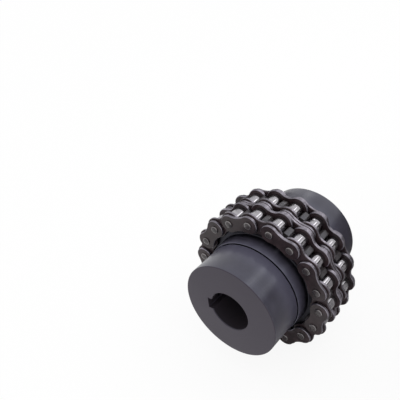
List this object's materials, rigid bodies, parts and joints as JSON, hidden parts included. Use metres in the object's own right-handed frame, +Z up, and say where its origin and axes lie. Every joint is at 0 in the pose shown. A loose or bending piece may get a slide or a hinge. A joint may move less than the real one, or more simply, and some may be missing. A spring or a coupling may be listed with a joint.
{
  "type": "chain coupling",
  "caption": "Shaft coupling of two toothed hubs with keyed bores, joined by a loop of double-strand roller chain wrapped round both sets of teeth.",
  "frame": {"origin": "on the shaft axis, midway between the two hubs", "axes": "+X along the shaft axis towards hub b, +Z up with the coupling lying on its chain"},
  "size_m": [0.1234, 0.1276, 0.126],
  "materials": {
    "hub_steel": "blackened, satin",
    "plate_steel": "blued, oiled",
    "pin_steel": "hardened, satin",
    "roller_steel": "polished",
    "screw_steel": "blackened",
    "clip_steel": "spring steel"
  },
  "bodies": {
    "chain": {"outer_plates_a": "plate_steel", "outer_plates_b": "plate_steel", "middle_plates_a": "plate_steel", "middle_plates_b": "plate_steel", "inner_plates_a_outside": "plate_steel", "inner_plates_a_inside": "plate_steel", "inner_plates_b_inside": "plate_steel", "inner_plates_b_outside": "plate_steel", "bushes_a": "pin_steel", "bushes_b": "pin_steel", "link_pins": "pin_steel", "connecting_pins": "pin_steel", "connecting_plate": "plate_steel", "spring_clip": "clip_steel"},
    "hub_a": {"hub_a": "hub_steel", "set_screw_a": "screw_steel"},
    "hub_b": {"hub_b": "hub_steel", "set_screw_b": "screw_steel"},
    "roller_a_01": {"roller_a_01": "roller_steel"},
    "roller_a_02": {"roller_a_02": "roller_steel"},
    "roller_a_03": {"roller_a_03": "roller_steel"},
    "roller_a_04": {"roller_a_04": "roller_steel"},
    "roller_a_05": {"roller_a_05": "roller_steel"},
    "roller_a_06": {"roller_a_06": "roller_steel"},
    "roller_a_07": {"roller_a_07": "roller_steel"},
    "roller_a_08": {"roller_a_08": "roller_steel"},
    "roller_a_09": {"roller_a_09": "roller_steel"},
    "roller_a_10": {"roller_a_10": "roller_steel"},
    "roller_a_11": {"roller_a_11": "roller_steel"},
    "roller_a_12": {"roller_a_12": "roller_steel"},
    "roller_a_13": {"roller_a_13": "roller_steel"},
    "roller_a_14": {"roller_a_14": "roller_steel"},
    "roller_a_15": {"roller_a_15": "roller_steel"},
    "roller_a_16": {"roller_a_16": "roller_steel"},
    "roller_a_17": {"roller_a_17": "roller_steel"},
    "roller_a_18": {"roller_a_18": "roller_steel"},
    "roller_b_01": {"roller_b_01": "roller_steel"},
    "roller_b_02": {"roller_b_02": "roller_steel"},
    "roller_b_03": {"roller_b_03": "roller_steel"},
    "roller_b_04": {"roller_b_04": "roller_steel"},
    "roller_b_05": {"roller_b_05": "roller_steel"},
    "roller_b_06": {"roller_b_06": "roller_steel"},
    "roller_b_07": {"roller_b_07": "roller_steel"},
    "roller_b_08": {"roller_b_08": "roller_steel"},
    "roller_b_09": {"roller_b_09": "roller_steel"},
    "roller_b_10": {"roller_b_10": "roller_steel"},
    "roller_b_11": {"roller_b_11": "roller_steel"},
    "roller_b_12": {"roller_b_12": "roller_steel"},
    "roller_b_13": {"roller_b_13": "roller_steel"},
    "roller_b_14": {"roller_b_14": "roller_steel"},
    "roller_b_15": {"roller_b_15": "roller_steel"},
    "roller_b_16": {"roller_b_16": "roller_steel"},
    "roller_b_17": {"roller_b_17": "roller_steel"},
    "roller_b_18": {"roller_b_18": "roller_steel"}
  },
  "joints": [
    {"name": "hub_a_free_play", "type": "hinge", "parent": "chain", "child": "hub_a", "pos_m": [0, 0, 0], "axis": [1, 0, 0], "range_deg": [-0.4, 0.4]},
    {"name": "hub_b_free_play", "type": "hinge", "parent": "chain", "child": "hub_b", "pos_m": [0, 0, 0], "axis": [1, 0, 0], "range_deg": [-0.4, 0.4]},
    {"name": "roller_a_01_spin", "type": "hinge", "parent": "chain", "child": "roller_a_01", "pos_m": [-0.01139, 0.05485, 0], "axis": [1, 0, 0], "continuous": true},
    {"name": "roller_a_02_spin", "type": "hinge", "parent": "chain", "child": "roller_a_02", "pos_m": [-0.01139, 0.05154, 0.01876], "axis": [1, 0, 0], "continuous": true},
    {"name": "roller_a_03_spin", "type": "hinge", "parent": "chain", "child": "roller_a_03", "pos_m": [-0.01139, 0.04202, 0.03526], "axis": [1, 0, 0], "continuous": true},
    {"name": "roller_a_04_spin", "type": "hinge", "parent": "chain", "child": "roller_a_04", "pos_m": [-0.01139, 0.02743, 0.0475], "axis": [1, 0, 0], "continuous": true},
    {"name": "roller_a_05_spin", "type": "hinge", "parent": "chain", "child": "roller_a_05", "pos_m": [-0.01139, 0.00953, 0.05402], "axis": [1, 0, 0], "continuous": true},
    {"name": "roller_a_06_spin", "type": "hinge", "parent": "chain", "child": "roller_a_06", "pos_m": [-0.01139, -0.00953, 0.05402], "axis": [1, 0, 0], "continuous": true},
    {"name": "roller_a_07_spin", "type": "hinge", "parent": "chain", "child": "roller_a_07", "pos_m": [-0.01139, -0.02743, 0.0475], "axis": [1, 0, 0], "continuous": true},
    {"name": "roller_a_08_spin", "type": "hinge", "parent": "chain", "child": "roller_a_08", "pos_m": [-0.01139, -0.04202, 0.03526], "axis": [1, 0, 0], "continuous": true},
    {"name": "roller_a_09_spin", "type": "hinge", "parent": "chain", "child": "roller_a_09", "pos_m": [-0.01139, -0.05154, 0.01876], "axis": [1, 0, 0], "continuous": true},
    {"name": "roller_a_10_spin", "type": "hinge", "parent": "chain", "child": "roller_a_10", "pos_m": [-0.01139, -0.05485, 0], "axis": [1, 0, 0], "continuous": true},
    {"name": "roller_a_11_spin", "type": "hinge", "parent": "chain", "child": "roller_a_11", "pos_m": [-0.01139, -0.05154, -0.01876], "axis": [1, 0, 0], "continuous": true},
    {"name": "roller_a_12_spin", "type": "hinge", "parent": "chain", "child": "roller_a_12", "pos_m": [-0.01139, -0.04202, -0.03526], "axis": [1, 0, 0], "continuous": true},
    {"name": "roller_a_13_spin", "type": "hinge", "parent": "chain", "child": "roller_a_13", "pos_m": [-0.01139, -0.02743, -0.0475], "axis": [1, 0, 0], "continuous": true},
    {"name": "roller_a_14_spin", "type": "hinge", "parent": "chain", "child": "roller_a_14", "pos_m": [-0.01139, -0.00953, -0.05402], "axis": [1, 0, 0], "continuous": true},
    {"name": "roller_a_15_spin", "type": "hinge", "parent": "chain", "child": "roller_a_15", "pos_m": [-0.01139, 0.00953, -0.05402], "axis": [1, 0, 0], "continuous": true},
    {"name": "roller_a_16_spin", "type": "hinge", "parent": "chain", "child": "roller_a_16", "pos_m": [-0.01139, 0.02743, -0.0475], "axis": [1, 0, 0], "continuous": true},
    {"name": "roller_a_17_spin", "type": "hinge", "parent": "chain", "child": "roller_a_17", "pos_m": [-0.01139, 0.04202, -0.03526], "axis": [1, 0, 0], "continuous": true},
    {"name": "roller_a_18_spin", "type": "hinge", "parent": "chain", "child": "roller_a_18", "pos_m": [-0.01139, 0.05154, -0.01876], "axis": [1, 0, 0], "continuous": true},
    {"name": "roller_b_01_spin", "type": "hinge", "parent": "chain", "child": "roller_b_01", "pos_m": [0.01139, 0.05485, 0], "axis": [1, 0, 0], "continuous": true},
    {"name": "roller_b_02_spin", "type": "hinge", "parent": "chain", "child": "roller_b_02", "pos_m": [0.01139, 0.05154, 0.01876], "axis": [1, 0, 0], "continuous": true},
    {"name": "roller_b_03_spin", "type": "hinge", "parent": "chain", "child": "roller_b_03", "pos_m": [0.01139, 0.04202, 0.03526], "axis": [1, 0, 0], "continuous": true},
    {"name": "roller_b_04_spin", "type": "hinge", "parent": "chain", "child": "roller_b_04", "pos_m": [0.01139, 0.02743, 0.0475], "axis": [1, 0, 0], "continuous": true},
    {"name": "roller_b_05_spin", "type": "hinge", "parent": "chain", "child": "roller_b_05", "pos_m": [0.01139, 0.00953, 0.05402], "axis": [1, 0, 0], "continuous": true},
    {"name": "roller_b_06_spin", "type": "hinge", "parent": "chain", "child": "roller_b_06", "pos_m": [0.01139, -0.00953, 0.05402], "axis": [1, 0, 0], "continuous": true},
    {"name": "roller_b_07_spin", "type": "hinge", "parent": "chain", "child": "roller_b_07", "pos_m": [0.01139, -0.02743, 0.0475], "axis": [1, 0, 0], "continuous": true},
    {"name": "roller_b_08_spin", "type": "hinge", "parent": "chain", "child": "roller_b_08", "pos_m": [0.01139, -0.04202, 0.03526], "axis": [1, 0, 0], "continuous": true},
    {"name": "roller_b_09_spin", "type": "hinge", "parent": "chain", "child": "roller_b_09", "pos_m": [0.01139, -0.05154, 0.01876], "axis": [1, 0, 0], "continuous": true},
    {"name": "roller_b_10_spin", "type": "hinge", "parent": "chain", "child": "roller_b_10", "pos_m": [0.01139, -0.05485, 0], "axis": [1, 0, 0], "continuous": true},
    {"name": "roller_b_11_spin", "type": "hinge", "parent": "chain", "child": "roller_b_11", "pos_m": [0.01139, -0.05154, -0.01876], "axis": [1, 0, 0], "continuous": true},
    {"name": "roller_b_12_spin", "type": "hinge", "parent": "chain", "child": "roller_b_12", "pos_m": [0.01139, -0.04202, -0.03526], "axis": [1, 0, 0], "continuous": true},
    {"name": "roller_b_13_spin", "type": "hinge", "parent": "chain", "child": "roller_b_13", "pos_m": [0.01139, -0.02743, -0.0475], "axis": [1, 0, 0], "continuous": true},
    {"name": "roller_b_14_spin", "type": "hinge", "parent": "chain", "child": "roller_b_14", "pos_m": [0.01139, -0.00953, -0.05402], "axis": [1, 0, 0], "continuous": true},
    {"name": "roller_b_15_spin", "type": "hinge", "parent": "chain", "child": "roller_b_15", "pos_m": [0.01139, 0.00953, -0.05402], "axis": [1, 0, 0], "continuous": true},
    {"name": "roller_b_16_spin", "type": "hinge", "parent": "chain", "child": "roller_b_16", "pos_m": [0.01139, 0.02743, -0.0475], "axis": [1, 0, 0], "continuous": true},
    {"name": "roller_b_17_spin", "type": "hinge", "parent": "chain", "child": "roller_b_17", "pos_m": [0.01139, 0.04202, -0.03526], "axis": [1, 0, 0], "continuous": true},
    {"name": "roller_b_18_spin", "type": "hinge", "parent": "chain", "child": "roller_b_18", "pos_m": [0.01139, 0.05154, -0.01876], "axis": [1, 0, 0], "continuous": true}
  ]
}
